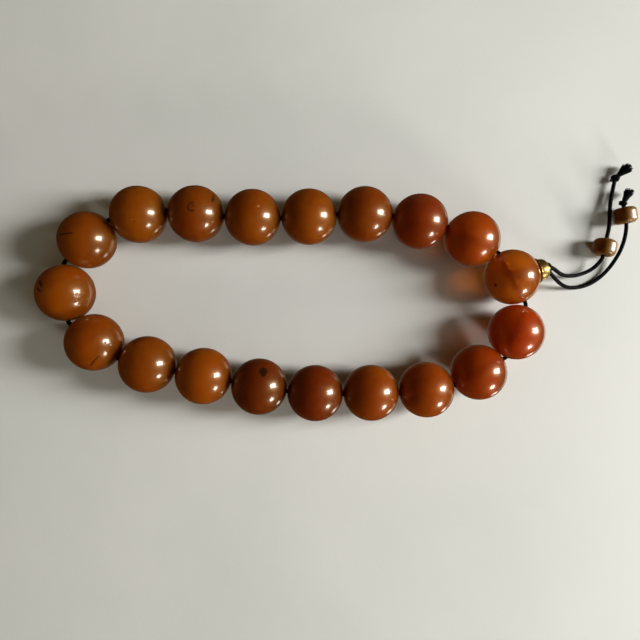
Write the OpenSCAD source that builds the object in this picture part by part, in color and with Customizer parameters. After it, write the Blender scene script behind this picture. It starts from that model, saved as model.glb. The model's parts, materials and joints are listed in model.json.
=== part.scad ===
// Misbaha: a loop of round amber beads on a black waxed cord. The cord leaves the loop through a
// three-hole head bead and a brass cap, and ends in two knotted tails with one drum bead on each.
// Millimetres. +Z is up from the table, +X runs along the loop towards the tails, and the origin
// lies on the table under the middle of the loop and its cap.

/* [Round beads] */
// Diameter of the round beads
bead_d = 23.3; // [22.6:0.1:23.4]
// Free space between neighbouring beads along the cord
bead_gap = 0.15; // [0.1:0.05:0.8]
// Diameter of the hole drilled through a bead
bore_d = 2.6; // [2.4:0.1:3]
// Width of the small bevel at each mouth of a hole
bevel = 0.5; // [0.2:0.05:0.6]

/* [Head bead] */
// Direction of the exit hole under the cap, in degrees from +X
exit_heading = 14; // [12:1:16]
// Diameter of the exit hole, which takes two strands side by side
exit_d = 4.2; // [4.2:0.1:4.6]

/* [Brass cap] */
// Radius of the domed wall
cap_r = 4.7; // [4.6:0.1:5]
// Length of the cap from its base to the middle of the mouth rim
cap_l = 3.8; // [3.6:0.1:3.9]
// Thickness of the rolled edge around the base
base_roll = 0.9; // [0.7:0.1:1]
// Thickness of the rolled rim around the mouth
rim_roll = 0.8; // [0.6:0.1:0.8]

/* [Cord and tails] */
// Diameter of the cord
cord_d = 1.7; // [1.5:0.1:1.7]
// Diameter of the knot in the mouth of the cap
cap_knot_d = 4.4; // [4.3:0.1:4.5]
// Diameter of the knot at the end of a tail
end_knot_d = 3.6; // [3.2:0.1:3.8]
// Length of the frayed cord past an end knot
frayed_l = 5.4; // [4:0.2:7]
// Diameter of a drum bead
drum_d = 9.8; // [9.4:0.1:9.9]
// Length of a drum bead along its hole
drum_l = 7; // [6.6:0.1:7.2]
// Radius of a drum bead's rounded edges
drum_edge = 2; // [1:0.25:2.25]

/* [Hidden] */
$fn = 64;
up = [0, 0, 1];
bead_r = bead_d / 2;
pitch = bead_d + bead_gap;

// Headings of the links from one bead's middle to the next, counterclockwise from the head bead.
// The last bead closes the loop, so no heading is given for it.
headings = [137, 162, 173, 183, 181, 177, 181, 207, 248, 300, 337, 348, 349, 353, 0, 3, 18];
last_bead = len(headings) + 1;

// Body colours of the loop's beads in the same order, then of everything else.
tints = [
    [0.55, 0.20, 0.08], [0.48, 0.17, 0.07], [0.55, 0.30, 0.09], [0.57, 0.33, 0.08],
    [0.55, 0.29, 0.08], [0.55, 0.23, 0.08], [0.68, 0.38, 0.08], [0.58, 0.28, 0.09],
    [0.72, 0.42, 0.09], [0.65, 0.33, 0.08], [0.62, 0.32, 0.08], [0.70, 0.38, 0.07],
    [0.50, 0.25, 0.07], [0.47, 0.20, 0.07], [0.55, 0.29, 0.07], [0.53, 0.28, 0.07],
    [0.45, 0.14, 0.06], [0.52, 0.17, 0.06]
];
head_tint = [0.74, 0.42, 0.08];
drum_tint = [0.58, 0.38, 0.16];
brass_tint = [0.76, 0.62, 0.27];
cord_tint = [0.07, 0.07, 0.07];

// Middles of the beads in plan, with the head bead, number 0, at zero. The last bead lies one
// pitch from both of its neighbours, on the outer side of the line between them.
function aim(a) = [cos(a), sin(a)];
function link_end(i) = i == 0 ? [0, 0] : link_end(i - 1) + pitch * aim(headings[i - 1]);
open_end = link_end(last_bead - 1);
outer_side = [-open_end.y, open_end.x] / norm(open_end);
closing_height = sqrt(pitch * pitch - open_end * open_end / 4);
closing_middle = open_end / 2 + closing_height * outer_side;
plan = [for (i = [0:last_bead]) i < last_bead ? link_end(i) : closing_middle];

// The cap sits on the head bead around the exit hole. Its base dips over the bead's curve.
seat_depth = 0.25;
cap_base = bead_r - seat_depth;
rim_r = 2.9;
exit_aim = aim(exit_heading);

// The frame: the box around the loop and its cap is centred over the origin.
plan_x = [for (p = plan) p.x];
plan_y = [for (p = plan) p.y];
cap_end = [cap_base + cap_l, rim_r] * exit_aim + rim_roll / 2;
right_end = max(max(plan_x) + bead_r, cap_end);
left_end = min(plan_x) - bead_r;
head = -[right_end + left_end, max(plan_y) + min(plan_y)] / 2;

function unit(v) = v / norm(v);
function middle(i) = [head.x + plan[i].x, head.y + plan[i].y, bead_r];
function before(i) = (i + last_bead) % (last_bead + 1);
function after(i) = (i + 1) % (last_bead + 1);

// The hole of a bead lies halfway between the links on its two sides. Where the loop starts or
// stops to bend, it is turned a little, so that its mouths face those of its neighbours.
function link_heading(i) = let (v = plan[after(i)] - plan[i]) atan2(v.y, v.x);
function bend(i) =
    let (turn = link_heading(i) - link_heading(before(i))) turn - 360 * round(turn / 360);
function easing(i) = (bend(before(i)) - bend(after(i))) / 8;
function hole_aim(i) = [each aim(link_heading(i) - bend(i) / 2 + easing(i)), 0];

// Places in the head bead's own frame: out through the cap, and to the left of that.
out_aim = [exit_aim.x, exit_aim.y, 0];
left_aim = cross(up, out_aim);
function head_point(out, left) = middle(0) + out * out_aim + left * left_aim;

// Route of the cord inside the loop. It is straight in each bead, and bows outwards a little in
// each gap. The two strands turn inside the head bead and run side by side into the cap's knot.
straight = bead_r - 0.45;
strand_side = 0.95;
knot_out = cap_base + cap_l;
strand_end = knot_out - 0.9;
start_strand = [[strand_end, strand_side], [2.2, strand_side], [0.35, 0.55]];
end_strand = [[0.6, -1.2], [2.2, -strand_side], [strand_end, -strand_side]];
start_turn = 1.6;
end_turn = 3;
function gap_point(i) =
    let (j = after(i), turn = hole_aim(i) - hole_aim(j))
    (middle(i) + middle(j) + straight * turn) / 2 + bead_gap / 2 * turn;
function bead_points(i) = [for (s = [-straight, straight]) middle(i) + s * hole_aim(i)];
loop_route = concat(
    [for (p = start_strand) head_point(p.x, p.y)],
    [for (s = [start_turn, straight]) middle(0) + s * hole_aim(0)],
    [gap_point(0)],
    [for (i = [1:last_bead]) each concat(bead_points(i), [gap_point(i)])],
    [for (s = [straight, end_turn]) middle(0) - s * hole_aim(0)],
    [for (p = end_strand) head_point(p.x, p.y)]
);

// Routes of the two free tails: x and y from the head bead's middle, z from the table. Each is
// straight where its drum bead sits, and ends in its knot.
tail_a_route = [
    [15.3, 4.75, 11.5], [18, 3.9, 11], [20.5, 2.7, 9.7], [22.9, 1.7, 8.1], [26.2, 1.1, 6.1],
    [29.7, 1.1, 4.4], [33.2, 1.7, 3.2], [36.5, 2.75, 2.7], [39.4, 4.3, 3], [41.6, 6.5, 4],
    [43.1, 9.2, 5], [44.1, 13.7, 5], [45.1, 18.2, 5], [46.1, 22.7, 5], [46.7, 27, 4.4],
    [47.3, 31.3, 3.6], [48.2, 35.8, 3], [49.3, 40.4, 2.6], [50.4, 44.9, 2.4]
];
tail_b_route = [
    [15.7, 2.9, 11.2], [17.8, 1.2, 10.4], [20.1, -0.5, 8.9], [22.8, -2, 6.9], [26, -3.2, 4.5],
    [29.6, -3.8, 2.4], [33.4, -3.75, 1.2], [37.3, -2.95, 1], [41, -1.3, 1], [44.5, 1.2, 1.2],
    [47.5, 4.4, 1.7], [49.9, 8.1, 2.6], [51.8, 12.1, 3.6], [53, 16, 4.3], [53.7, 19.9, 4.8],
    [53.9, 23.8, 5], [53.3, 27.8, 5], [52.7, 31.8, 5], [52.5, 33.2, 4.9]
];
drum_a_at = 11;
drum_b_at = 16;
frayed_a_aim = [0.72, 0.66, 0.2];
frayed_b_aim = [0.54, 0.83, -0.15];
frayed_start_r = 1;
frayed_end_r = 1.9;

function from_head(p) = [head.x + p.x, head.y + p.y, p.z];
function placed(route) = [for (p = route) from_head(p)];

// A tube with flat sides swept along a route, with one ring of corners at each point.
sides = 8;
function way(route, i) =
    let (last = len(route) - 1)
    i == 0 ? unit(route[1] - route[0])
    : i == last ? unit(route[last] - route[last - 1])
    : unit(unit(route[i] - route[i - 1]) + unit(route[i + 1] - route[i]));
function ring(route, i) =
    let (t = way(route, i), across = unit(cross(t, up)), over = cross(across, t))
    [for (k = [0:sides - 1])
        route[i] + cord_d / 2 * (cos(360 * k / sides) * across + sin(360 * k / sides) * over)];

module tube(route) {
    rings = len(route);
    corners = [for (i = [0:rings - 1]) each ring(route, i)];
    walls = [
        for (i = [0:rings - 2], k = [0:sides - 1])
            let (n = (k + 1) % sides, a = i * sides, b = a + sides)
            each [[a + k, a + n, b + n], [a + k, b + n, b + k]]
    ];
    start = [for (k = [sides - 1:-1:0]) k];
    end = [for (k = [0:sides - 1]) (rings - 1) * sides + k];
    polyhedron(points = corners, faces = concat(walls, [start, end]));
}

// Turns a child's +Z to a direction.
module along(v) {
    rotate([0, acos(v.z / norm(v)), atan2(v.y, v.x)])
        children();
}

module ring_roll(radius, thickness) {
    rotate_extrude()
        translate([radius, 0])
            circle(d = thickness);
}

// A hole from one side of the bead to the other, with a bevel at each mouth.
module through_hole(r) {
    cylinder(r = r, h = bead_d + 2, center = true);
    for (side = [0, 1])
        mirror([0, 0, side])
            hole_mouth(r);
}

module hole_mouth(r) {
    mouth = sqrt(bead_r * bead_r - r * r);
    translate([0, 0, mouth - bevel])
        cylinder(r1 = r, r2 = r + 2 * bevel, h = 2 * bevel);
}

module loop_bead(i) {
    color(tints[i - 1])
        translate(middle(i))
            along(hole_aim(i))
                difference() {
                    sphere(d = bead_d);
                    through_hole(bore_d / 2);
                }
}

// The bead at the head of the loop has a third hole, where both strands turn out to the cap.
module head_bead() {
    color(head_tint)
        translate(middle(0))
            difference() {
                sphere(d = bead_d);
                along(hole_aim(0))
                    through_hole(bore_d / 2);
                along(out_aim) {
                    cylinder(d = exit_d, h = bead_d);
                    hole_mouth(exit_d / 2);
                }
            }
}

// A turned brass dome with a rolled edge at its base and a rolled rim around its mouth.
module brass_cap() {
    flare_l = 1.4;
    edge_lift = 0.2;
    mouth_r = rim_r - 0.2;
    relief = 1.2;
    over = 0.6;
    color(brass_tint)
        translate(head_point(cap_base, 0))
            along(out_aim)
                difference() {
                    union() {
                        intersection() {
                            translate([0, 0, edge_lift])
                                sphere(r = cap_r);
                            cylinder(r = 2 * cap_r, h = cap_l);
                        }
                        translate([0, 0, base_roll / 2])
                            ring_roll(cap_r + 0.1, base_roll);
                        translate([0, 0, cap_l])
                            ring_roll(rim_r, rim_roll);
                    }
                    translate([0, 0, -over])
                        cylinder(d = exit_d, h = cap_l + 2 * over);
                    translate([0, 0, cap_l - flare_l])
                        cylinder(r1 = exit_d / 2, r2 = mouth_r, h = flare_l + over);
                    translate([0, 0, -0.1])
                        cylinder(r1 = exit_d / 2 + relief, r2 = exit_d / 2, h = over);
                }
}

module string_loop() {
    color(cord_tint)
        tube(loop_route);
}

module cap_knot() {
    color(cord_tint)
        translate(head_point(knot_out, 0))
            sphere(d = cap_knot_d);
}

module tail_cord_a() {
    color(cord_tint)
        tube(placed(tail_a_route));
}

module tail_cord_b() {
    color(cord_tint)
        tube(placed(tail_b_route));
}

// A drum bead around one point of a tail's route, with its hole along the cord.
module drum_bead(route, at) {
    flat_r = drum_d / 2 - drum_edge;
    flat_l = drum_l - 2 * drum_edge;
    hole_r = bore_d / 2;
    color(drum_tint)
        translate(from_head(route[at]))
            along(route[at + 1] - route[at - 1])
                rotate_extrude() {
                    translate([hole_r, -drum_l / 2])
                        square([flat_r - hole_r, drum_l]);
                    translate([hole_r, -flat_l / 2])
                        square([drum_d / 2 - hole_r, flat_l]);
                    for (side = [-1, 1])
                        translate([flat_r, side * flat_l / 2])
                            circle(r = drum_edge);
                }
}

module tail_bead_a() {
    drum_bead(tail_a_route, drum_a_at);
}

module tail_bead_b() {
    drum_bead(tail_b_route, drum_b_at);
}

// The knot at the end of a tail, with the cord's frayed end spreading out of it.
module end_knot(route, frayed_aim) {
    color(cord_tint)
        translate(from_head(route[len(route) - 1]))
            along(frayed_aim) {
                sphere(d = end_knot_d);
                cylinder(r1 = frayed_start_r, r2 = frayed_end_r, h = end_knot_d / 2 + frayed_l);
            }
}

module end_knot_a() {
    end_knot(tail_a_route, frayed_a_aim);
}

module end_knot_b() {
    end_knot(tail_b_route, frayed_b_aim);
}

function bead_name(i) = str("bead_", i < 10 ? "0" : "", i);

for (i = [1:last_bead])
    loop_bead(i);
head_bead();
brass_cap();
string_loop();
cap_knot();
tail_cord_a();
tail_cord_b();
tail_bead_a();
tail_bead_b();
end_knot_a();
end_knot_b();
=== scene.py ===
"""A loop of round amber prayer beads on a black waxed cord, with a brass cap and two knotted tails.

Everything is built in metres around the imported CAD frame. Lengths named in millimetres are
multiplied by MM.
"""

import json
import math

import bmesh
import bpy
import numpy as np
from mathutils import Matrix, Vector


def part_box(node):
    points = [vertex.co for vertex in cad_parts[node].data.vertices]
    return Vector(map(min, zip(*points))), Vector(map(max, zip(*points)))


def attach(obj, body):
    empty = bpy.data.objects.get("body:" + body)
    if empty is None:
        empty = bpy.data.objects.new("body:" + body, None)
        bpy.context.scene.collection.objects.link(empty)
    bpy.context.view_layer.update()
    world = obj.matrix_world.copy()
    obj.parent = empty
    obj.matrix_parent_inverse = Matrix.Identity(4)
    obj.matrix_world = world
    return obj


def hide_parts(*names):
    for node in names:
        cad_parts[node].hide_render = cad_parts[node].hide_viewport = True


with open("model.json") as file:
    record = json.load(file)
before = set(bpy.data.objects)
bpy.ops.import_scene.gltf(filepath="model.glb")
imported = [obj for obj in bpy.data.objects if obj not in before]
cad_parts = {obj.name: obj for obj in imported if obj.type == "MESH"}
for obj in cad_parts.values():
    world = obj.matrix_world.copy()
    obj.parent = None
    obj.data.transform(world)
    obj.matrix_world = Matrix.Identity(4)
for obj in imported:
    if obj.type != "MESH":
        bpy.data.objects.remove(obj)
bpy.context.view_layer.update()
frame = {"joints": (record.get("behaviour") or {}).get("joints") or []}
MM = 0.001

# ---------------------------------------------------------------- places that the CAD gives

LOOP_BEADS = [f"bead_{i:02d}" for i in range(1, 19)]


def middle(node):
    low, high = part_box(node)
    return np.array((low + high) / 2)


def joint_axis(name):
    found = [j for j in frame["joints"] if j["name"] == name]
    return np.array(found[0]["axis"], float)


def unit(v):
    v = np.array(v, float)
    return v / np.linalg.norm(v)


UP = np.array([0.0, 0.0, 1.0])
HEAD = middle("head_bead")
BEAD_R = (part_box("head_bead")[1].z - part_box("head_bead")[0].z) / 2
OUT = unit(joint_axis("brass_cap_turn"))
LEFT = np.cross(UP, OUT)
KNOT = middle("cap_knot")

MIDDLES = [HEAD] + [middle(n) for n in LOOP_BEADS]
COUNT = len(MIDDLES)


def turn_at(i):
    """How far the loop turns at bead i, in radians."""
    a = MIDDLES[i] - MIDDLES[i - 1]
    b = MIDDLES[(i + 1) % COUNT] - MIDDLES[i]
    return math.atan2(a[0] * b[1] - a[1] * b[0], a @ b)


def head_hole_aim():
    """The head bead's side hole lies as the others do: halfway, and eased towards its neighbours."""
    b = MIDDLES[1] - MIDDLES[0]
    a = math.atan2(b[1], b[0]) - turn_at(0) / 2 + (turn_at(-1) - turn_at(1)) / 8
    return np.array([math.cos(a), math.sin(a), 0.0])


AIMS = [head_hole_aim()] + [unit(joint_axis(n + "_turn")) for n in LOOP_BEADS]

# ---------------------------------------------------------------- camera

camera = bpy.data.objects.new("camera", bpy.data.cameras.new("camera"))
bpy.context.scene.collection.objects.link(camera)
bpy.context.scene.camera = camera
CAMERA_FROM_HEAD = (-91.57 * MM, -18.43 * MM)
CAMERA_HEIGHT = 245.4 * MM
CAMERA_TILT = (0.0007, -0.0428, 0)
camera.location = (HEAD[0] + CAMERA_FROM_HEAD[0], HEAD[1] + CAMERA_FROM_HEAD[1], CAMERA_HEIGHT)
camera.rotation_euler = CAMERA_TILT
camera.data.lens = 31.44
camera.data.sensor_width = 36
camera.data.clip_start = 0.01
camera.data.clip_end = 20

# ---------------------------------------------------------------- mesh helpers


def add_mesh(name, points, faces, smooth=True):
    mesh = bpy.data.meshes.new(name)
    mesh.from_pydata([tuple(p) for p in points], [], faces)
    mesh.update()
    if smooth:
        mesh.shade_smooth()
    obj = bpy.data.objects.new(name, mesh)
    bpy.context.scene.collection.objects.link(obj)
    return obj


def catmull(points, step):
    """A smooth line through the points, with points about step apart."""
    p = np.array(points, float)
    p = np.vstack([2 * p[0] - p[1], p, 2 * p[-1] - p[-2]])
    out = []
    for i in range(1, len(p) - 2):
        n = max(2, int(np.linalg.norm(p[i + 1] - p[i]) / step))
        t = np.arange(n)[:, None] / n
        a, b, c, d = p[i - 1], p[i], p[i + 1], p[i + 2]
        out.append(
            0.5 * (2 * b + (c - a) * t + (2 * a - 5 * b + 4 * c - d) * t**2 + (3 * b - a - 3 * c + d) * t**3)
        )
    out.append(p[-2][None, :])
    return spaced(np.vstack(out), step)


def spaced(line, step):
    along = np.concatenate([[0], np.cumsum(np.linalg.norm(np.diff(line, axis=0), axis=1))])
    at = np.linspace(0, along[-1], max(2, int(round(along[-1] / step)) + 1))
    return np.stack([np.interp(at, along, line[:, k]) for k in range(3)], axis=1)


def frames_along(line):
    """The direction at each point of a line, and two directions across it that don't twist."""
    t = np.gradient(line, axis=0)
    t /= np.linalg.norm(t, axis=1)[:, None]
    start = np.cross(t[0], UP)
    if np.linalg.norm(start) < 0.1:
        start = np.cross(t[0], [1.0, 0, 0])
    a = [unit(start)]
    for k in range(1, len(line)):
        v = a[-1] - (a[-1] @ t[k]) * t[k]
        a.append(v / np.linalg.norm(v))
    a = np.array(a)
    return t, a, np.cross(t, a)


def tube_mesh(line, radius, sides):
    """Points and faces of a closed tube. radius has a number for each ring, or one for each corner."""
    _, a, b = frames_along(line)
    angle = 2 * math.pi * np.arange(sides) / sides
    if radius.ndim == 1:
        radius = radius[:, None]
    r = np.broadcast_to(radius, (len(line), sides))
    out = np.cos(angle)[None, :, None] * a[:, None, :] + np.sin(angle)[None, :, None] * b[:, None, :]
    ring = line[:, None, :] + r[:, :, None] * out
    points = ring.reshape(-1, 3)
    faces = []
    for i in range(len(line) - 1):
        for k in range(sides):
            n = (k + 1) % sides
            faces.append((i * sides + k, i * sides + n, (i + 1) * sides + n, (i + 1) * sides + k))
    faces.append(tuple(range(sides - 1, -1, -1)))
    faces.append(tuple((len(line) - 1) * sides + k for k in range(sides)))
    return points, faces


def braid_radius(line, sides, radius, depth, pick, strands=4):
    """Radii of a round braid: two sets of strands that wind round it in opposite directions."""
    along = np.concatenate([[0], np.cumsum(np.linalg.norm(np.diff(line, axis=0), axis=1))])[:, None]
    angle = 2 * math.pi * np.arange(sides)[None, :] / sides
    one = np.abs(np.cos(strands / 2 * (angle + 2 * math.pi * along / pick / strands)))
    two = np.abs(np.cos(strands / 2 * (angle - 2 * math.pi * along / pick / strands)))
    return radius * (1 - depth + depth * np.maximum(one, two))


def merged(parts):
    """One list of points and faces from several."""
    points, faces, start = [], [], 0
    for p, f in parts:
        points.append(np.asarray(p, float))
        faces += [tuple(i + start for i in face) for face in f]
        start += len(p)
    return np.vstack(points), faces


def revolved(profile, segments, closed):
    """Points round +Z from a profile of (radius, height), and its faces. closed joins its two ends."""
    angle = 2 * math.pi * np.arange(segments) / segments
    profile = np.asarray(profile, float)
    points = np.stack(
        [
            profile[:, None, 0] * np.cos(angle)[None, :],
            profile[:, None, 0] * np.sin(angle)[None, :],
            np.repeat(profile[:, 1][:, None], segments, 1),
        ],
        axis=2,
    ).reshape(-1, 3)
    faces = []
    rows = len(profile)
    for i in range(rows if closed else rows - 1):
        j = (i + 1) % rows
        for k in range(segments):
            n = (k + 1) % segments
            faces.append((i * segments + k, i * segments + n, j * segments + n, j * segments + k))
    return points, faces


def turned_to(axis):
    """A 3 by 3 matrix that turns +Z to a direction."""
    z = unit(axis)
    x = np.cross(UP, z)
    x = unit(x) if np.linalg.norm(x) > 1e-6 else np.array([1.0, 0, 0])
    return np.stack([x, np.cross(z, x), z], axis=1)


def unevenness(directions, seed, size):
    """A slow variation over a round surface, the same for the same seed."""
    rng = np.random.default_rng(seed)
    total = np.zeros(len(directions))
    for _ in range(7):
        wave = rng.normal(0, 2.2, 3)
        total += rng.uniform(0.4, 1.0) * np.cos(directions @ wave + rng.uniform(0, 2 * math.pi))
    return size * total / 4


def aim_of(heading, height):
    """A direction from a heading round the table and a height above it, both in degrees."""
    a, h = math.radians(heading), math.radians(height)
    return np.array([math.cos(a) * math.cos(h), math.sin(a) * math.cos(h), math.sin(h)])


# ---------------------------------------------------------------- material helpers


class Tree:
    """Short names for making a material's nodes."""

    def __init__(self, name):
        self.material = bpy.data.materials.new(name)
        self.material.use_nodes = True
        self.nodes = self.material.node_tree.nodes
        self.links = self.material.node_tree.links
        self.shader = self.nodes["Principled BSDF"]

    def node(self, kind, **settings):
        made = self.nodes.new("ShaderNode" + kind)
        for key, value in settings.items():
            setattr(made, key, value)
        return made

    def put(self, socket, value):
        if isinstance(value, bpy.types.NodeSocket):
            self.links.new(value, socket)
        else:
            socket.default_value = value

    def math(self, operation, a, b=0.0):
        n = self.node("Math", operation=operation)
        self.put(n.inputs[0], a)
        self.put(n.inputs[1], b)
        return n.outputs[0]

    def vector(self, operation, a, b=(0, 0, 0), scale=None):
        n = self.node("VectorMath", operation=operation)
        self.put(n.inputs[0], a)
        self.put(n.inputs[1], b)
        if scale is not None:
            n.inputs["Scale"].default_value = scale
        gives_number = operation in ("DISTANCE", "DOT_PRODUCT")
        return n.outputs["Value" if gives_number else "Vector"]

    def span(self, value, low, high, to_low=0.0, to_high=1.0):
        n = self.node("MapRange", interpolation_type="SMOOTHSTEP")
        self.put(n.inputs["Value"], value)
        n.inputs["From Min"].default_value = low
        n.inputs["From Max"].default_value = high
        n.inputs["To Min"].default_value = to_low
        n.inputs["To Max"].default_value = to_high
        return n.outputs["Result"]

    def noise(self, vector, scale, detail=3.0, roughness=0.5, distortion=0.0):
        n = self.node("TexNoise")
        self.put(n.inputs["Vector"], vector)
        n.inputs["Scale"].default_value = scale
        n.inputs["Detail"].default_value = detail
        n.inputs["Roughness"].default_value = roughness
        n.inputs["Distortion"].default_value = distortion
        return n.outputs["Fac"]

    def ragged(self, vector, scale, size):
        """The vector, shaken by noise, so that what is drawn at a distance from it has a ragged edge."""
        n = self.node("TexNoise")
        self.put(n.inputs["Vector"], vector)
        n.inputs["Scale"].default_value = scale
        n.inputs["Detail"].default_value = 2
        shake = self.vector("SUBTRACT", n.outputs["Color"], (0.5, 0.5, 0.5))
        return self.vector("ADD", vector, self.vector("SCALE", shake, scale=size))

    def mix(self, factor, a, b):
        n = self.node("Mix", data_type="RGBA")
        self.put(n.inputs["Factor"], factor)
        self.put(n.inputs["A"], a)
        self.put(n.inputs["B"], b)
        return n.outputs["Result"]

    def bump(self, height, strength, distance):
        n = self.node("Bump")
        n.inputs["Strength"].default_value = strength
        n.inputs["Distance"].default_value = distance
        self.put(n.inputs["Height"], height)
        return n.outputs["Normal"]

    def place(self):
        return self.node("TexCoord").outputs["Object"]

    def set(self, **values):
        for key, value in values.items():
            self.put(self.shader.inputs[key.replace("_", " ")], value)


def linear(c):
    """One channel's linear strength, from 0 to 255 on the usual scale."""
    return ((c / 255 + 0.055) / 1.055) ** 2.4 if c > 10 else c / 255 / 12.92


def rgb(r, g, b):
    return (linear(r), linear(g), linear(b), 1.0)


def wear(obj, material):
    obj.data.materials.clear()
    obj.data.materials.append(material)
    return obj


# ---------------------------------------------------------------- the two free tails

# Routes as in the CAD source: x and y from the head bead's middle, z from the table, millimetres.
TAIL_A = [
    (15.3, 4.75, 11.5), (18, 3.9, 11), (20.5, 2.7, 9.7), (22.9, 1.7, 8.1), (26.2, 1.1, 6.1),
    (29.7, 1.1, 4.4), (33.2, 1.7, 3.2), (36.5, 2.75, 2.7), (39.4, 4.3, 3), (41.6, 6.5, 4),
    (43.1, 9.2, 5), (44.1, 13.7, 5), (45.1, 18.2, 5), (46.1, 22.7, 5), (46.7, 27, 4.4),
    (47.3, 31.3, 3.6), (48.2, 35.8, 3), (49.3, 40.4, 2.6), (50.4, 44.9, 2.4),
]
TAIL_B = [
    (15.7, 2.9, 11.2), (17.8, 1.2, 10.4), (20.1, -0.5, 8.9), (22.8, -2, 6.9), (26, -3.2, 4.5),
    (29.6, -3.8, 2.4), (33.4, -3.75, 1.2), (37.3, -2.95, 1), (41, -1.3, 1), (44.5, 1.2, 1.2),
    (47.5, 4.4, 1.7), (49.9, 8.1, 2.6), (51.8, 12.1, 3.6), (53, 16, 4.3), (53.7, 19.9, 4.8),
    (53.9, 23.8, 5), (53.3, 27.8, 5), (52.7, 31.8, 5), (52.5, 33.2, 4.9),
]
FRAYED_A = unit((0.72, 0.66, 0.2))
FRAYED_B = unit((0.54, 0.83, -0.15))
CORD_D = 1.7 * MM
BRAID_PICK = 1.15 * MM
BRAID_DEPTH = 0.12
KNOT_BRAID_DEPTH = 0.13
FINE_STEP = 0.14 * MM


def placed(route):
    return [(HEAD[0] + x * MM, HEAD[1] + y * MM, z * MM) for x, y, z in route]


def braided(name, line, sides=24):
    points, faces = tube_mesh(line, braid_radius(line, sides, CORD_D / 2, BRAID_DEPTH, BRAID_PICK), sides)
    return add_mesh(name, points, faces)


line_a = catmull(placed(TAIL_A), FINE_STEP)
line_b = catmull(placed(TAIL_B), FINE_STEP)
tail_a = braided("tail_a", line_a)
tail_b = braided("tail_b", line_b)

# ---------------------------------------------------------------- knots and frayed ends


def wrap_line(centre, axis, radius, turns, start, half_length, tilt, seed):
    """A strand that comes out of a cord, winds round it and goes back in."""
    rng = np.random.default_rng(seed)
    basis = turned_to(axis)
    q = np.linspace(0, 1, 90)
    angle = start + 2 * math.pi * turns * q
    rise = np.clip(np.minimum(q, 1 - q) / 0.14, 0, 1)
    rise = rise * rise * (3 - 2 * rise)
    r = radius * rise * (1 + 0.05 * np.sin(2 * angle + rng.uniform(0, 6)))
    along = half_length * (2 * q - 1) + tilt * np.cos(angle - start)
    local = np.stack([r * np.cos(angle), r * np.sin(angle), along], axis=1)
    return spaced(np.asarray(centre) + local @ basis.T, FINE_STEP)


def braided_part(line, diameter, sides=18):
    return tube_mesh(line, braid_radius(line, sides, diameter / 2, KNOT_BRAID_DEPTH, BRAID_PICK), sides)


GOLDEN_ANGLE = 2.399963
TUFT_START = 0.5 * MM
TUFT_ROOT_R = 0.62 * MM
TUFT_STEP = 0.45 * MM


def tuft_parts(centre, aim, strands, length, spread, seed):
    """Loose strands of a cut cord, which spread out along aim."""
    rng = np.random.default_rng(seed)
    basis = turned_to(aim)
    parts = []
    for k in range(strands):
        share = math.sqrt((k + 0.5) / strands)
        angle = GOLDEN_ANGLE * k + rng.uniform(-0.3, 0.3)
        near = TUFT_ROOT_R * share
        far = spread * share * rng.uniform(0.85, 1.12)
        end = length * (1 - 0.13 * share**2) * rng.uniform(0.84, 1.04)
        kink = rng.normal(0, 0.16 * MM, (3, 2))
        route = []
        for j, s in enumerate((0.0, 0.35, 0.7, 1.0)):
            wide = near + (far - near) * s**1.25
            side = kink[j - 1] * s if j else (0, 0)
            x, y = wide * math.cos(angle) + side[0], wide * math.sin(angle) + side[1]
            route.append((x, y, TUFT_START + end * s))
        line = catmull(np.asarray(centre) + np.array(route) @ basis.T, TUFT_STEP)
        thick = np.linspace(0.27, 0.15, len(line)) * MM
        parts.append(tube_mesh(line, thick, 6))
    return parts


def end_knot(name, line, aim, seed, loop_side=None):
    """An overhand knot: the cord's core, a strand wound round it, and one that crosses over.

    loop_side is the way in which a small loop of the cord stands out of the knot.
    """
    centre, axis = line[-1], unit(line[-1] - line[-9])
    lean = unit(axis + 0.35 * np.cross(axis, UP))
    over = unit(lean + 0.9 * UP)
    ways = ((axis, -1.6), (axis, -0.5), (aim, 0.7), (aim, 2.2))
    core = catmull([centre + way * far * MM for way, far in ways], FINE_STEP)
    wound = wrap_line(centre, lean, 1.15 * MM, 1.45, 0.4 + seed, 0.5 * MM, 0.3 * MM, seed)
    crossing = wrap_line(centre, over, 1.0 * MM, 0.75, 2.1 + seed, 0.45 * MM, 0.2 * MM, seed + 7)
    parts = [
        braided_part(core, 1.4 * MM),
        braided_part(wound, 1.35 * MM),
        braided_part(crossing, 1.2 * MM),
    ]
    if loop_side is not None:
        side = unit(loop_side)
        across = unit(np.cross(side, UP)) * 0.45 * MM
        bend = centre + side * 1.5 * MM
        far = centre + side * 2.5 * MM
        ear = [centre + across, bend + across * 1.4, far, bend - across * 1.4, centre - across]
        parts.append(braided_part(catmull(ear, FINE_STEP), 0.8 * MM, 12))
    return add_mesh(name, *merged(parts))


STRANDS = 90
knot_a = end_knot("knot_a", line_a, FRAYED_A, 1, (-0.85, -0.5, 0.1))
knot_b = end_knot("knot_b", line_b, FRAYED_B, 4)
frayed_a = tuft_parts(line_a[-1], FRAYED_A, STRANDS, 7.7 * MM, 2.3 * MM, 11)
frayed_b = tuft_parts(line_b[-1], FRAYED_B, STRANDS, 7.2 * MM, 2.15 * MM, 12)
tuft_a = add_mesh("tuft_a", *merged(frayed_a))
tuft_b = add_mesh("tuft_b", *merged(frayed_b))


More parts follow.
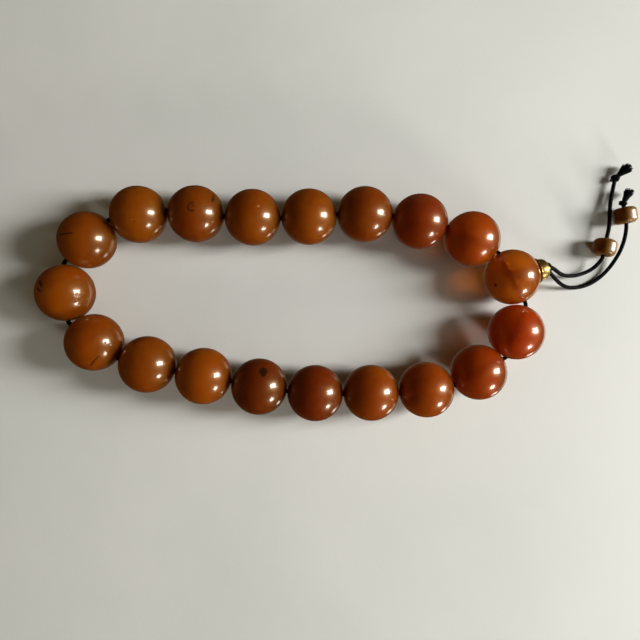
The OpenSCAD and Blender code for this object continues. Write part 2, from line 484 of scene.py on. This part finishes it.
def cap_knot_mesh():
    """Both strands are tied in one knot, which sits in the mouth of the cap."""
    lean = unit(OUT + 0.8 * UP)
    wound = wrap_line(KNOT + OUT * 0.7 * MM, OUT, 1.6 * MM, 2.0, 0.3, 0.8 * MM, 0.3 * MM, 21)
    crossing = wrap_line(KNOT + OUT * 0.9 * MM, lean, 1.5 * MM, 1.2, 2.0, 0.3 * MM, 0.4 * MM, 22)
    parts = [braided_part(wound, 1.8 * MM, 20), braided_part(crossing, 1.7 * MM, 20)]
    for side in (-1, 1):
        back = KNOT - OUT * 1.6 * MM + LEFT * side * 0.95 * MM
        front = KNOT + LEFT * side * 0.6 * MM
        end = KNOT + OUT * 1.0 * MM + LEFT * side * 0.9 * MM
        parts.append(braided_part(catmull([back, front, end], FINE_STEP), 1.6 * MM, 20))
    return add_mesh("knot_cap", *merged(parts))


knot_cap = cap_knot_mesh()

# ---------------------------------------------------------------- the cord inside the loop

STRAIGHT = 11.0 * MM
STRAND_SIDE = 0.95 * MM
STRAND_END = 14.3 * MM
LOOP_STEP = 0.2 * MM


def head_point(out, left):
    return HEAD + out * OUT + left * LEFT


def hermite(p, q, tp, tq, n):
    """A smooth line from p to q that leaves along tp and arrives along tq."""
    t = np.linspace(0, 1, n)[:, None]
    gap = np.linalg.norm(q - p)
    h = 2 * t**3 - 3 * t**2 + 1, t**3 - 2 * t**2 + t, 3 * t**2 - 2 * t**3, t**3 - t**2
    return h[0] * p + h[1] * gap * tp + h[2] * q + h[3] * gap * tq


def loop_line():
    inner = [
        head_point(STRAND_END, STRAND_SIDE), head_point(6 * MM, STRAND_SIDE),
        head_point(2.2 * MM, STRAND_SIDE), head_point(0.35 * MM, 0.55 * MM),
        HEAD + AIMS[0] * 1.6 * MM, HEAD + AIMS[0] * 5 * MM, HEAD + AIMS[0] * STRAIGHT,
    ]
    line = [catmull(inner, LOOP_STEP)]
    for i in range(COUNT):
        j = (i + 1) % COUNT
        p, q = MIDDLES[i] + STRAIGHT * AIMS[i], MIDDLES[j] - STRAIGHT * AIMS[j]
        line.append(hermite(p, q, AIMS[i], AIMS[j], 16))
        if j:
            line.append(np.linspace(q, MIDDLES[j] + STRAIGHT * AIMS[j], 60))
    outer = [
        HEAD - AIMS[0] * STRAIGHT, HEAD - AIMS[0] * 6 * MM, HEAD - AIMS[0] * 3 * MM,
        head_point(0.6 * MM, -1.2 * MM), head_point(2.2 * MM, -STRAND_SIDE),
        head_point(6 * MM, -STRAND_SIDE), head_point(STRAND_END, -STRAND_SIDE),
    ]
    line.append(catmull(outer, LOOP_STEP))
    whole = np.vstack(line)
    keep = np.concatenate([[True], np.linalg.norm(np.diff(whole, axis=0), axis=1) > 1e-6])
    return spaced(whole[keep], LOOP_STEP)


loop_cord = braided("loop_cord", loop_line(), 20)

# ---------------------------------------------------------------- beads

BORE_R = 1.3 * MM
LIP = 0.4 * MM
PIT_REFINE = 2
BEAD_SEGMENTS = 168
UNEVEN = 0.04 * MM


def bead_profile(radius):
    """Once round a drilled bead's section: up the hole, over the worn lip, down the ball, and back."""
    mouth = math.sqrt(radius**2 - (BORE_R + LIP) ** 2)
    inner = mouth - LIP
    up = [(BORE_R, z) for z in np.linspace(-inner, inner, 9)]
    lip = [
        (BORE_R + LIP * (1 - math.cos(a)), inner + LIP * math.sin(a) * 0.98)
        for a in np.linspace(0.35, 1.45, 5)
    ]
    first = math.asin((BORE_R + LIP) / radius)
    arc = [(radius * math.sin(a), radius * math.cos(a)) for a in np.linspace(first, math.pi - first, 108)]
    low_lip = [(r, -z) for r, z in reversed(lip)]
    return up + lip + arc + low_lip


def round_bead(name, centre, axis, seed, pits, chips=6):
    """A drilled ball that is a little out of round, with worn lips, chips and pits."""
    points, faces = revolved(bead_profile(BEAD_R), BEAD_SEGMENTS, True)
    points = points @ turned_to(axis).T
    mesh = bpy.data.meshes.new(name)
    mesh.from_pydata([tuple(p) for p in points], [], faces)
    bm = bmesh.new()
    bm.from_mesh(mesh)
    for aim, size, _ in pits:
        for _ in range(PIT_REFINE):
            near = {v for v in bm.verts if (v.co - Vector(aim) * BEAD_R).length < 1.9 * size + 0.35 * MM}
            edges = [e for e in bm.edges if e.verts[0] in near and e.verts[1] in near]
            bmesh.ops.subdivide_edges(bm, edges=edges, cuts=2, use_grid_fill=True)
    bmesh.ops.recalc_face_normals(bm, faces=bm.faces)
    bm.to_mesh(mesh)
    bm.free()
    co = np.zeros(len(mesh.vertices) * 3)
    mesh.vertices.foreach_get("co", co)
    co = co.reshape(-1, 3)
    dist = np.linalg.norm(co, axis=1)
    aims = co / np.maximum(dist, 1e-9)[:, None]
    off_axis = np.linalg.norm(co - (co @ unit(axis))[:, None] * unit(axis), axis=1)
    skin = (off_axis > BORE_R + LIP * 0.9) & (dist > BEAD_R * 0.985)
    radius = BEAD_R + unevenness(aims, seed, UNEVEN)
    for aim, size, depth in pits:
        away = np.linalg.norm(aims - np.asarray(aim), axis=1) * BEAD_R
        wobble = 1 + 0.25 * np.sin(9 * aims @ np.array([1.0, 2.0, 0.5]) * 7 + seed)
        radius = radius - depth * np.exp(-((away / (size * wobble)) ** 4))
    rng = np.random.default_rng(seed + 500)
    z = unit(axis)
    for _ in range(chips):
        side = rng.choice([-1, 1])
        spin = rng.uniform(0, 2 * math.pi)
        across = turned_to(axis)[:, :2] @ np.array([math.cos(spin), math.sin(spin)])
        at = unit(side * z + across * (BORE_R + LIP * 1.1) / BEAD_R)
        away = np.linalg.norm(aims - at, axis=1) * BEAD_R
        depth = rng.uniform(0.05, 0.16) * MM
        size = rng.uniform(0.3, 0.55) * MM
        radius = radius - depth * np.exp(-((away / size) ** 2))
    co[skin] = aims[skin] * radius[skin][:, None]
    mesh.vertices.foreach_set("co", (co + centre).ravel())
    mesh.update()
    mesh.shade_smooth()
    obj = bpy.data.objects.new(name, mesh)
    bpy.context.scene.collection.objects.link(obj)
    return obj


# What is drawn on a bead: where each kind of mark starts to fade and ends, and its colour.
INK = rgb(34, 12, 5)
MARKS = {
    "spot": (0.8, 1.2, INK),
    "patch": (0.3, 1.4, rgb(110, 36, 8)),
    "pale": (0.4, 1.2, rgb(232, 170, 96)),
}


def amber(name, centre, look, seed):
    """Cloudy amber or old resin. look gives its colours, how clear it is, how strong the painted shade on
    its side towards +x is, and its marks and cracks.
    """
    t = Tree(name)
    ball = t.vector("SCALE", t.vector("SUBTRACT", t.place(), tuple(centre)), scale=1 / BEAD_R)
    shift = t.vector("ADD", ball, (seed * 3.17, seed * 1.31, -seed * 2.03))
    cloud = t.span(t.noise(shift, 0.8, 1, 0.4, 0.3), 0.25, 0.75)
    colour = t.mix(cloud, look["deep"], look["main"])
    pale = t.span(t.noise(shift, 1.1, 1, 0.4, 0.4), 0.45, 0.8, 0, 0.4)
    colour = t.mix(pale, colour, look["light"])
    streaks = t.node("TexWave", wave_type="BANDS", bands_direction="DIAGONAL")
    t.put(streaks.inputs["Vector"], shift)
    streaks.inputs["Scale"].default_value = 1.3
    streaks.inputs["Distortion"].default_value = 4
    streaks.inputs["Detail"].default_value = 1
    streaks.inputs["Detail Scale"].default_value = 1.2
    colour = t.mix(t.span(streaks.outputs["Fac"], 0.55, 1.0, 0, 0.1), colour, look["deep"])
    fleck = t.span(t.noise(shift, 26, 2, 0.6), 0.7, 0.78, 0, 0.08)
    colour = t.mix(fleck, colour, look["deep"])
    # Painted shade: each bead's side towards +x, where the lamps are, is painted a little darker and greener
    # at rest, standing in for how light falls there rather than for the bead's own colour.
    facing = t.vector("DOT_PRODUCT", ball, tuple(aim_of(-10, 15)))
    painted_side_shade = t.span(facing, 0.35, 1.0, 0, look.get("painted_side_shade", 0.5))
    colour = t.mix(painted_side_shade, colour, rgb(70, 44, 0))
    ragged = t.ragged(ball, 8, 0.06)
    dull = 0.0
    for kind, aim, size, strength in look.get("marks", []):
        inner, outer, tint = MARKS[kind]
        away = t.vector("DISTANCE", ragged, tuple(aim_of(*aim)))
        here = t.span(away, size * inner, size * outer, strength, 0)
        dull = t.math("MAXIMUM", dull, here)
        colour = t.mix(here, colour, tint)
    for start, end, wide in look.get("cracks", []):
        a, b = aim_of(*start), aim_of(*end)
        off = t.math("ABSOLUTE", t.vector("DOT_PRODUCT", ragged, tuple(unit(np.cross(a, b)))))
        reach = np.linalg.norm(a - b) / 2
        here = t.vector("DISTANCE", ball, tuple(unit(a + b)))
        across = t.span(off, 0.4 * wide, wide, 0.9, 0)
        along = t.span(here, reach - 0.03, reach + 0.03, 1, 0)
        line = t.math("MULTIPLY", across, along)
        dull = t.math("MAXIMUM", dull, line)
        colour = t.mix(line, colour, INK)
    clear = t.math("SUBTRACT", 1.0, dull)
    rub = t.noise(shift, 3.2, 4, 0.6)
    rough = t.span(rub, 0.35, 0.75, 0.32, 0.42)
    skin = t.math("ADD", t.noise(shift, 5, 3, 0.5), t.math("MULTIPLY", t.noise(shift, 40, 3, 0.6), 0.12))
    t.set(
        Base_Color=colour,
        Roughness=rough,
        IOR=1.4,
        Specular_IOR_Level=0.8,
        Specular_Tint=(1.0, 0.75, 0.35, 1.0),
        Subsurface_Weight=clear,
        Subsurface_Radius=(1.0, 0.45, 0.2),
        Subsurface_Scale=8 * MM,
        Transmission_Weight=t.math("MULTIPLY", clear, look.get("clear", 0.2)),
        Coat_Weight=1.0,
        Coat_Roughness=0.13,
        Coat_IOR=1.45,
        Normal=t.bump(skin, 0.12, 0.12 * MM),
    )
    return t.material


def resin(r, g, b=2):
    """The three colours of one bead: its main one, a deeper redder one and a lighter yellower one."""
    return dict(main=rgb(r, g, b), deep=rgb(0.95 * r, 0.88 * g, b), light=rgb(1.03 * r, 1.1 * g, b))


# A short curved crack, as lines from point to point.
ARC_POINTS = [(62, 77), (103, 79), (158, 83), (-103, 85), (-33, 82)]
ARC = [(a, b, 0.04) for a, b in zip(ARC_POINTS, ARC_POINTS[1:])]

# Each loop bead in turn: its colours, what else differs, and its pits (aim, size and depth in mm).
# An aim is a heading and a height in degrees. A mark is a kind, an aim, a size and a strength, and
# a crack is two aims and a width. Sizes and widths of marks and cracks are shares of the radius.
# Among what else differs is how strong the painted shade on a bead's side towards +x is.
LOOKS = [
    (resin(200, 86), dict(clear=0.5, painted_side_shade=0.6, marks=[("patch", (20, 20), 0.5, 0.5)]), []),
    (resin(171, 64), dict(clear=0.45, marks=[("patch", (90, 55), 0.6, 0.6)]), []),
    (resin(149, 69), dict(marks=[("spot", (-11, 49), 0.035, 1.0)]), [((-11, 49), 0.3, 0.25)]),
    (
        resin(159, 79),
        dict(marks=[("spot", (138, 14), 0.06, 1.0), ("spot", (-124, 24), 0.04, 0.9)]),
        [((138, 14), 0.5, 0.3)],
    ),
    (resin(154, 74), dict(marks=[("pale", (40, 70), 0.05, 0.5)]), []),
    (
        resin(146, 68),
        dict(
            cracks=ARC + [((81, 85), (41, 81), 0.035), ((42, 24), (23, 44), 0.05)],
            marks=[("spot", (29, 36), 0.045, 0.9)],
        ),
        [],
    ),
    (resin(157, 81), dict(marks=[("spot", (-77, 66), 0.03, 0.95)]), [((-77, 66), 0.28, 0.15)]),
    (resin(148, 72), dict(cracks=[((176, 50), (140, 81), 0.032)]), []),
    (
        resin(161, 80),
        dict(
            cracks=[((146, 45), (158, 63), 0.075), ((180, 63), (168, 48), 0.06)],
            marks=[("spot", (-29, 47), 0.03, 0.9), ("spot", (-15, 24), 0.03, 0.8)],
        ),
        [((-29, 47), 0.35, 0.25), ((-10, 46), 0.8, 0.15), ((-15, 24), 0.3, 0.2)],
    ),
    (
        resin(157, 75),
        dict(
            cracks=[((-84, 38), (-65, 50), 0.05), ((-65, 50), (-45, 52), 0.04)],
            marks=[("spot", (1, 51), 0.028, 0.8)],
        ),
        [((1, 51), 0.3, 0.2)],
    ),
    (resin(154, 77), dict(), []),
    (resin(168, 84), dict(), []),
    (resin(123, 47), dict(marks=[("spot", (73, 50), 0.15, 1.0), ("spot", (69, 58), 0.08, 1.0)]), []),
    (resin(135, 48), dict(marks=[("spot", (-10, 47), 0.028, 0.8)]), [((-10, 47), 0.3, 0.2)]),
    (resin(166, 77), dict(), []),
    (resin(180, 82), dict(clear=0.3, painted_side_shade=0.6), []),
    (resin(186, 73), dict(clear=0.45, painted_side_shade=0.65), []),
    (resin(198, 71), dict(clear=0.45, painted_side_shade=0.65), []),
]
HEAD_MARKS = [("spot", (-157, 31), 0.06, 0.8), ("spot", (-86, 48), 0.05, 0.8)]
HEAD_LOOK = {**resin(219, 117, 10), "clear": 0.68, "painted_side_shade": 0.5, "marks": HEAD_MARKS}
HEAD_SEED = 40

for index, (family, own, pits) in enumerate(LOOKS, 1):
    node = LOOP_BEADS[index - 1]
    holes = [(aim_of(*aim), size * MM, depth * MM) for aim, size, depth in pits]
    name = f"amber_{index:02d}"
    bead = round_bead(name, MIDDLES[index], AIMS[index], index, holes)
    wear(bead, amber(name, MIDDLES[index], {**family, **own}, index))
    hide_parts(node)
    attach(bead, node)

EXIT_R = 2.1 * MM
EXIT_L = 13 * MM
head = round_bead("amber_head", HEAD, AIMS[0], HEAD_SEED, [], 4)
rod, rod_faces = revolved([(0.0, 0.0), (EXIT_R, 0.0), (EXIT_R, EXIT_L), (0.0, EXIT_L)], 48, False)
cutter = add_mesh("cutter", rod @ turned_to(OUT).T + HEAD, rod_faces)
bm = bmesh.new()
bm.from_mesh(cutter.data)
bmesh.ops.remove_doubles(bm, verts=bm.verts, dist=1e-6)
bmesh.ops.recalc_face_normals(bm, faces=bm.faces)
bm.to_mesh(cutter.data)
bm.free()
cut = head.modifiers.new("exit_hole", "BOOLEAN")
cut.object = cutter
cut.operation = "DIFFERENCE"
cut.solver = "EXACT"
bpy.context.view_layer.update()
cut_mesh = bpy.data.meshes.new_from_object(head.evaluated_get(bpy.context.evaluated_depsgraph_get()))
head.modifiers.clear()
head.data = cut_mesh
bpy.data.objects.remove(cutter)
wear(head, amber("amber_head", HEAD, HEAD_LOOK, HEAD_SEED))
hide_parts("head_bead")
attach(head, "cord_and_head")

# ---------------------------------------------------------------- brass cap


def cap_mesh():
    """A pressed dome with a beaded edge at its base and a rolled rim round its mouth."""
    base = HEAD + OUT * (BEAD_R - 0.25 * MM)
    cap_r, cap_l, rim_r = 4.7 * MM, 3.8 * MM, 2.9 * MM
    edge_at = -0.1 * MM
    outer = []
    for a in np.linspace(-1.5, 1.9, 17):
        outer.append((cap_r + 0.5 * MM * math.cos(a), edge_at + 0.42 * MM * math.sin(a)))
    shoulder = rim_r + 0.28 * MM
    for a in np.linspace(0.05, 1.45, 26):
        wide = shoulder + (cap_r - shoulder) * math.cos(a) ** 0.62
        outer.append((wide, 0.3 * MM + (cap_l - 0.5 * MM) * math.sin(a)))
    for a in np.linspace(-0.9, math.pi + 0.6, 18):
        outer.append((rim_r + 0.4 * MM * math.cos(a), cap_l + 0.4 * MM * math.sin(a)))
    bore_r = 2.15 * MM
    inner = [
        (2.3 * MM, cap_l - 1.0 * MM), (bore_r, cap_l - 1.6 * MM), (bore_r, 0.7 * MM),
        (3.0 * MM, 0.12 * MM), (4.1 * MM, -0.2 * MM),
    ]
    points, faces = revolved(outer + inner, 144, True)
    angle = np.arctan2(points[:, 1], points[:, 0])
    height = points[:, 2]
    radius = np.hypot(points[:, 0], points[:, 1])
    edge = np.exp(-(((height - edge_at) / (0.4 * MM)) ** 2)) * (radius > cap_r)
    scallop = 0.13 * MM * edge * np.abs(np.cos(angle * 14)) ** 0.7
    dents = unevenness(np.stack([np.cos(angle), np.sin(angle), height / cap_r], 1), 77, 0.03 * MM)
    outside = radius > 2.4 * MM
    scale = 1 + np.where(outside, (scallop + dents * 0.8 - 0.04 * MM) / np.maximum(radius, 1e-6), 0)
    points = points * np.stack([scale, scale, np.ones(len(scale))], 1)
    return add_mesh("cap", points @ turned_to(OUT).T + base, faces)


cap = cap_mesh()


def brass():
    t = Tree("brass")
    place = t.place()
    stain = t.span(t.noise(place, 260, 4, 0.6, 0.8), 0.42, 0.68)
    colour = t.mix(stain, rgb(206, 176, 108), rgb(160, 128, 62))
    dark = t.span(t.noise(place, 620, 3, 0.6), 0.62, 0.75, 0, 0.4)
    colour = t.mix(dark, colour, rgb(84, 62, 26))
    fine = t.noise(place, 2600, 3, 0.6)
    t.set(
        Base_Color=colour,
        Metallic=1.0,
        Roughness=t.span(t.math("ADD", stain, t.math("MULTIPLY", fine, 0.5)), 0, 1.5, 0.3, 0.46),
        Normal=t.bump(fine, 0.15, 0.03 * MM),
    )
    return t.material


wear(cap, brass())
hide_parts("brass_cap")
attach(cap, "brass_cap")

# ---------------------------------------------------------------- drum beads

DRUM_D, DRUM_L, DRUM_EDGE = 9.8 * MM, 7 * MM, 2 * MM


def drum(name, node, axis, seed):
    """A squat resin bead with soft edges and a drilled hole."""
    flat_r, flat_l = DRUM_D / 2 - DRUM_EDGE, DRUM_L / 2 - DRUM_EDGE
    profile = [(BORE_R, z) for z in np.linspace(-DRUM_L / 2 + 0.3 * MM, DRUM_L / 2 - 0.3 * MM, 9)]
    profile += [(BORE_R + 0.12 * MM, DRUM_L / 2 - 0.08 * MM), (BORE_R + 0.35 * MM, DRUM_L / 2)]
    profile += [(r, DRUM_L / 2) for r in np.linspace(BORE_R + 0.6 * MM, flat_r, 6)]
    profile += [
        (flat_r + DRUM_EDGE * math.sin(a), flat_l + DRUM_EDGE * math.cos(a))
        for a in np.linspace(0.12, math.pi / 2, 16)
    ]
    profile += [(DRUM_D / 2, z) for z in np.linspace(flat_l, -flat_l, 14)[1:]]
    outer = [p for p in profile if p[0] > BORE_R + 0.1 * MM and p[1] > flat_l + 1e-9]
    profile += [(r, -z) for r, z in reversed(outer)]
    points, faces = revolved(profile, 120, True)
    r = np.linalg.norm(points, axis=1)
    aims = points / r[:, None]
    outside = np.hypot(points[:, 0], points[:, 1]) > BORE_R + 0.5 * MM
    points[outside] += aims[outside] * unevenness(aims[outside], seed, 0.07 * MM)[:, None]
    return add_mesh(name, points @ turned_to(axis).T + middle(node), faces)


def pearl(name, centre, seed):
    """Brown-gold resin with a pearly swirl. Painted light and shade: it is painted paler and golden on its
    side towards +x, where the lamps are, and redder on its shaded side.
    """
    t = Tree(name)
    ball = t.vector("SCALE", t.vector("SUBTRACT", t.place(), tuple(centre)), scale=1 / (5 * MM))
    shift = t.vector("ADD", ball, (seed, -seed * 0.7, seed * 1.9))
    side = t.vector("DOT_PRODUCT", ball, (1.0, -0.12, 0.25))
    # Painted light and shade: redder towards the shaded side, paler and golden towards the lamps.
    painted_lit_side = t.math("ADD", side, t.span(t.noise(shift, 1.6, 3), 0.2, 0.8, -0.45, 0.45))
    colour = t.mix(t.span(painted_lit_side, -0.75, 0.1), rgb(126, 60, 3), rgb(132, 90, 6))
    colour = t.mix(t.span(painted_lit_side, 0.15, 1.0, 0, 0.8), colour, rgb(160, 120, 34))
    swirl = t.span(t.noise(shift, 3.4, 4, 0.6, 2.5), 0.5, 0.72, 0, 0.5)
    colour = t.mix(swirl, colour, rgb(104, 50, 12))
    t.set(
        Base_Color=colour,
        Roughness=t.span(t.noise(shift, 4, 3), 0.3, 0.7, 0.3, 0.42),
        IOR=1.35,
        Subsurface_Weight=0.8,
        Subsurface_Radius=(1.0, 0.45, 0.15),
        Subsurface_Scale=2.5 * MM,
        Specular_Tint=(1.0, 0.72, 0.3, 1.0),
        Specular_IOR_Level=0.4,
        Transmission_Weight=0.4,
        Normal=t.bump(t.noise(shift, 5, 4, 0.6), 0.3, 0.15 * MM),
    )
    return t.material


AXIS_A = unit(joint_axis("tail_bead_a_slide"))
AXIS_B = unit(joint_axis("tail_bead_b_turn"))
drum_a = drum("drum_a", "tail_bead_a", AXIS_A, 61)
drum_b = drum("drum_b", "tail_bead_b", AXIS_B, 62)
for piece, node, seed in ((drum_a, "tail_bead_a", 3.0), (drum_b, "tail_bead_b", 8.0)):
    wear(piece, pearl(piece.name, middle(node), seed))
    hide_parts(node)
    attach(piece, node)

# ---------------------------------------------------------------- black waxed cord


def waxed(name, dusty):
    """Black waxed thread: uneven sheen, with pale specks of dust and dried wax."""
    t = Tree(name)
    place = t.place()
    worn = t.span(t.noise(place, 420, 4, 0.6), 0.45, 0.75)
    colour = t.mix(worn, rgb(5, 5, 5), rgb(13, 12, 12))
    specks = t.span(t.noise(place, 2400, 2, 0.5), 0.68, 0.76, 0, dusty)
    colour = t.mix(specks, colour, rgb(150, 144, 136))
    fibre = t.noise(place, 5200, 3, 0.7)
    t.set(
        Base_Color=colour,
        Roughness=t.span(t.noise(place, 900, 3), 0.3, 0.7, 0.45, 0.7),
        Specular_IOR_Level=0.08,
        Normal=t.bump(fibre, 0.45, 0.05 * MM),
    )
    return t.material


cord_look = waxed("waxed_cord", 0.55)
fray_look = waxed("frayed_cord", 0.15)
for piece, nodes, look in (
    (loop_cord, ["string_loop"], cord_look),
    (knot_cap, ["cap_knot"], cord_look),
    (tail_a, ["tail_cord_a"], cord_look),
    (tail_b, ["tail_cord_b"], cord_look),
    (knot_a, ["end_knot_a"], cord_look),
    (knot_b, ["end_knot_b"], cord_look),
    (tuft_a, ["end_knot_a"], fray_look),
    (tuft_b, ["end_knot_b"], fray_look),
):
    wear(piece, look)
    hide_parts(*nodes)
    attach(piece, "cord_and_head")

# ---------------------------------------------------------------- floor, lights and surroundings


def paper():
    t = Tree("paper")
    place = t.place()
    tone = t.span(t.noise(place, 9, 4, 0.5), 0.3, 0.7)
    colour = t.mix(tone, rgb(225, 227, 222), rgb(233, 234, 229))
    grain = t.noise(place, 900, 5, 0.65)
    waves = t.noise(place, 35, 3, 0.5)
    t.set(
        Base_Color=colour,
        Roughness=0.75,
        Specular_IOR_Level=0.25,
        Normal=t.bump(t.math("ADD", grain, t.math("MULTIPLY", waves, 3.0)), 0.16, 0.25 * MM),
    )
    return t.material


HALF_FLOOR = 1.6
floor = add_mesh(
    "floor",
    [(x * HALF_FLOOR, y * HALF_FLOOR, 0) for x, y in ((-1, -1), (1, -1), (1, 1), (-1, 1))],
    [(0, 1, 2, 3)],
    False,
)
floor.data.materials.append(paper())
floor.visible_glossy = False


def panel(name, azimuth, elevation, distance, size, power, colour, mirrored=True):
    """A soft rectangular light that faces the middle of the loop, in degrees, metres and watts."""
    light = bpy.data.lights.new(name, "AREA")
    light.shape = "RECTANGLE"
    light.size, light.size_y = size
    light.energy = power
    light.color = colour
    obj = bpy.data.objects.new(name, light)
    bpy.context.scene.collection.objects.link(obj)
    aim = aim_of(azimuth, elevation)
    obj.location = aim * distance
    obj.rotation_mode = "QUATERNION"
    obj.rotation_quaternion = Vector(aim).to_track_quat("Z", "Y")
    obj.visible_glossy = mirrored


WINDOW_SIZE = (0.143, 0.55)
WINDOW_WHITE = (1.0, 0.985, 0.965)
panel("window_left", 9, 29, 1.3, WINDOW_SIZE, 9.6, WINDOW_WHITE)
panel("window_right", 0.6, 29, 1.3, WINDOW_SIZE, 9.6, WINDOW_WHITE)
panel("low_light", -47, 15, 1.0, (0.2, 0.2), 3.6, (1.0, 0.97, 0.92))
# These two light the shadows, and reflections don't see them.
panel("fill", -30, 50, 1.4, (1.5, 1.5), 2.4, (0.93, 0.97, 1.0), mirrored=False)
panel("glow", 185, 9, 1.0, (0.8, 0.3), 0.9, (1.0, 0.72, 0.4), mirrored=False)

world = bpy.data.worlds.new("room")
bpy.context.scene.world = world
world.use_nodes = True
wn, wl = world.node_tree.nodes, world.node_tree.links
background = wn["Background"]


def world_span(source, low, high, start, end):
    span = wn.new("ShaderNodeMapRange")
    for socket, value in zip(("From Min", "From Max", "To Min", "To Max"), (low, high, start, end)):
        span.inputs[socket].default_value = value
    wl.new(source, span.inputs["Value"])
    return span.outputs["Result"]


def world_math(kind, first, second):
    node = wn.new("ShaderNodeMath")
    node.operation = kind
    wl.new(first, node.inputs[0])
    wl.new(second, node.inputs[1])
    return node.outputs[0]


# The surroundings are dim and warm, and a little brighter towards +x.
way = wn.new("ShaderNodeTexCoord")
part = wn.new("ShaderNodeSeparateXYZ")
wl.new(way.outputs["Generated"], part.inputs[0])
toward = wn.new("ShaderNodeVectorMath")
toward.operation = "DOT_PRODUCT"
toward.inputs[1].default_value = tuple(aim_of(-45, -33))
wl.new(way.outputs["Generated"], toward.inputs[0])
across, height = part.outputs["X"], part.outputs["Z"]
wl.new(world_span(across, -0.6, 1, 0.02, 0.08), background.inputs["Strength"])
background.inputs["Color"].default_value = (1.0, 0.78, 0.3, 1)
# Three brighter areas below the horizon, which the floor hides from all but reflections. They stand
# for lit paper beside a bead and under it, and for one bright patch of paper.
sideways = world_span(across, 0.58, 0.74, 0, 1.3)
downward = world_span(height, -0.5, -0.62, 0, 1)
beside = world_math("MULTIPLY", sideways, downward)
under = world_span(height, -0.78, -0.95, 0, 0.06)
patch = world_span(toward.outputs["Value"], 0.994, 0.998, 0, 7)
white = wn.new("ShaderNodeBackground")
white.inputs["Color"].default_value = (1.0, 0.93, 0.84, 1)
wl.new(world_math("ADD", world_math("ADD", beside, under), patch), white.inputs["Strength"])
both = wn.new("ShaderNodeAddShader")
wl.new(background.outputs[0], both.inputs[0])
wl.new(white.outputs[0], both.inputs[1])
wl.new(both.outputs[0], wn["World Output"].inputs["Surface"])
bpy.context.scene.view_settings.view_transform = "Standard"
